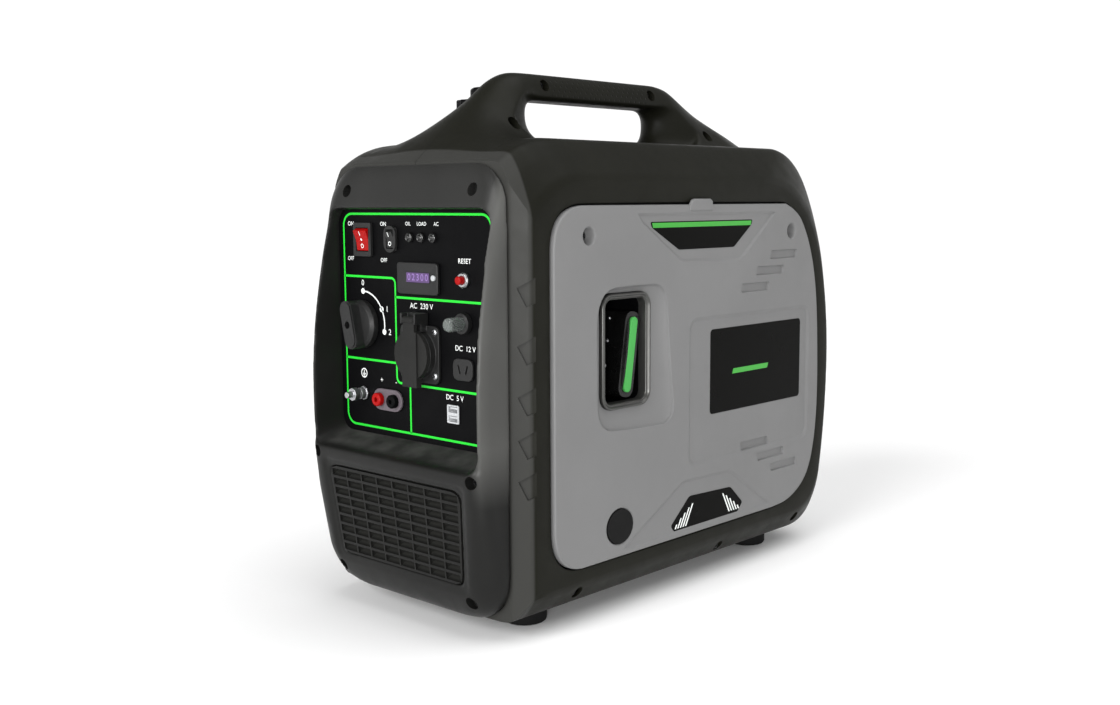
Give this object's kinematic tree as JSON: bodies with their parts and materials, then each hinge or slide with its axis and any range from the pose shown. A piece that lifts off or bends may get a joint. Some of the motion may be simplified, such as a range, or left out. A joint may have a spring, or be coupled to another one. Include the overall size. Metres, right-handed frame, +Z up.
{
  "type": "portable generator",
  "caption": "Suitcase inverter generator with a moulded clamshell housing, carrying handle, recoil starter, control panel, grille and side service door.",
  "frame": {"origin": "on the floor under the middle of the housing's bounding box", "axes": "+Z up, the control panel faces -Y, the service door and recoil starter face +X"},
  "size_m": [0.263, 0.5393, 0.487],
  "materials": {
    "shell": "moulded, satin, warm charcoal",
    "door": "moulded, fine speckle, mid grey",
    "black_plastic": "moulded, satin black",
    "rubber": "matte",
    "rope": "braided cord",
    "red_plastic": "glossy red",
    "green_rubber": "soft green insert",
    "satin_steel": "satin",
    "bright_metal": "bright nickel",
    "cast_alloy": "as cast",
    "dark_steel": "black painted sheet",
    "clear_boot": "translucent boot",
    "mauve_plastic": "matte mauve grey",
    "silver_plastic": "pale grey"
  },
  "bodies": {
    "housing": {"right_shell": "shell", "left_shell": "shell", "front_cover": "shell", "front_grille": "shell", "rear_cover": "shell", "left_cover": "door", "recoil_pocket": "black_plastic", "fan_shroud": "black_plastic", "air_filter_box": "black_plastic", "battery": "black_plastic", "control_panel": "black_plastic", "engine_switch_bezel": "black_plastic", "eco_switch_bezel": "black_plastic", "display_housing": "black_plastic", "indicator_lamps": "black_plastic", "breaker_base": "black_plastic", "ac_socket": "black_plastic", "dc_outlet": "black_plastic", "parallel_socket_black": "black_plastic", "fuel_tank": "black_plastic", "foot_front_left": "rubber", "foot_front_right": "rubber", "foot_rear_left": "rubber", "foot_rear_right": "rubber", "engine_mount_left": "rubber", "engine_mount_right": "rubber", "spark_plug": "rubber", "parallel_socket_red": "red_plastic", "stator": "satin_steel", "reset_collar": "bright_metal", "ground_terminal": "bright_metal", "engine_block": "cast_alloy", "cylinder_head": "cast_alloy", "carburettor": "cast_alloy", "inverter": "cast_alloy", "fuel_valve": "cast_alloy", "muffler": "dark_steel", "base_tray": "dark_steel", "parallel_plate": "mauve_plastic", "usb_outlet": "silver_plastic"},
    "service_door": {"service_door": "door", "door_plug": "rubber", "recoil_bezel": "satin_steel"},
    "engine_switch_rocker": {"engine_switch_rocker": "red_plastic"},
    "eco_switch_rocker": {"eco_switch_rocker": "black_plastic"},
    "engine_knob": {"engine_knob": "black_plastic"},
    "display_button": {"display_button": "silver_plastic"},
    "reset_button": {"reset_button": "red_plastic"},
    "breaker_button": {"breaker_button": "clear_boot"},
    "ac_socket_flap": {"ac_socket_flap": "black_plastic"},
    "fuel_cap": {"fuel_cap": "black_plastic"},
    "fuel_cap_vent": {"fuel_cap_vent": "black_plastic"},
    "recoil_handle": {"recoil_handle": "black_plastic", "recoil_grip_insert": "green_rubber", "recoil_rope": "rope"},
    "recoil_pulley": {"recoil_pulley": "black_plastic"},
    "crankshaft": {"crankshaft": "satin_steel", "rotor_fan": "cast_alloy"},
    "oil_dipstick": {"oil_dipstick": "black_plastic"}
  },
  "joints": [
    {"name": "service_door_tilt", "type": "hinge", "parent": "housing", "child": "service_door", "pos_m": [0.128, 0.008, 0.054], "axis": [0, 1, 0], "range_deg": [0, 35]},
    {"name": "engine_switch_press", "type": "hinge", "parent": "housing", "child": "engine_switch_rocker", "pos_m": [-0.0675, -0.2355, 0.336], "axis": [-1, 0, 0], "range_deg": [0, 30]},
    {"name": "eco_switch_press", "type": "hinge", "parent": "housing", "child": "eco_switch_rocker", "pos_m": [-0.029, -0.2355, 0.337], "axis": [-1, 0, 0], "range_deg": [0, 24]},
    {"name": "engine_knob_turn", "type": "hinge", "parent": "housing", "child": "engine_knob", "pos_m": [-0.071, -0.2355, 0.2597], "axis": [0, 1, 0], "range_deg": [0, 114]},
    {"name": "display_button_press", "type": "slide", "parent": "housing", "child": "display_button", "axis": [0, 1, 0], "range_m": [0, 0.0008], "stiffness_N_per_m": 600},
    {"name": "reset_button_press", "type": "slide", "parent": "housing", "child": "reset_button", "axis": [0, 1, 0], "range_m": [0, 0.0025], "stiffness_N_per_m": 600},
    {"name": "breaker_press", "type": "slide", "parent": "housing", "child": "breaker_button", "axis": [0, 1, 0], "range_m": [0, 0.003], "stiffness_N_per_m": 800},
    {"name": "socket_flap_lift", "type": "hinge", "parent": "housing", "child": "ac_socket_flap", "pos_m": [0.0085, -0.2485, 0.2685], "axis": [-1, 0, 0], "range_deg": [0, 100], "stiffness_Nm_per_rad": 0.02, "springref_deg": -17.19},
    {"name": "fuel_cap_turn", "type": "hinge", "parent": "housing", "child": "fuel_cap", "pos_m": [-0.066, -0.082, 0.445], "axis": [0, 0, 1], "range_deg": [0, 180]},
    {"name": "fuel_cap_vent_turn", "type": "hinge", "parent": "fuel_cap", "child": "fuel_cap_vent", "pos_m": [-0.066, -0.082, 0.467], "axis": [0, 0, 1], "range_deg": [0, 90]},
    {"name": "recoil_pull", "type": "slide", "parent": "housing", "child": "recoil_handle", "axis": [1, 0, 0], "range_m": [0, 0.12], "stiffness_N_per_m": 40, "springref_m": -0.05},
    {"name": "recoil_pulley_spin", "type": "hinge", "parent": "housing", "child": "recoil_pulley", "pos_m": [0, -0.0887, 0.187], "axis": [0, 1, 0], "range_deg": [0, 160]},
    {"name": "crankshaft_spin", "type": "hinge", "parent": "housing", "child": "crankshaft", "pos_m": [0, 0, 0.187], "axis": [0, 1, 0], "continuous": true},
    {"name": "oil_dipstick_turn", "type": "hinge", "parent": "housing", "child": "oil_dipstick", "pos_m": [0.06, 0.05, 0.088], "axis": [1, 0, 0], "range_deg": [0, 180]}
  ],
  "couplings": [
    {"joint": "recoil_pulley_spin", "follows": "recoil_pull", "rad_per_m": 21.739}
  ]
}
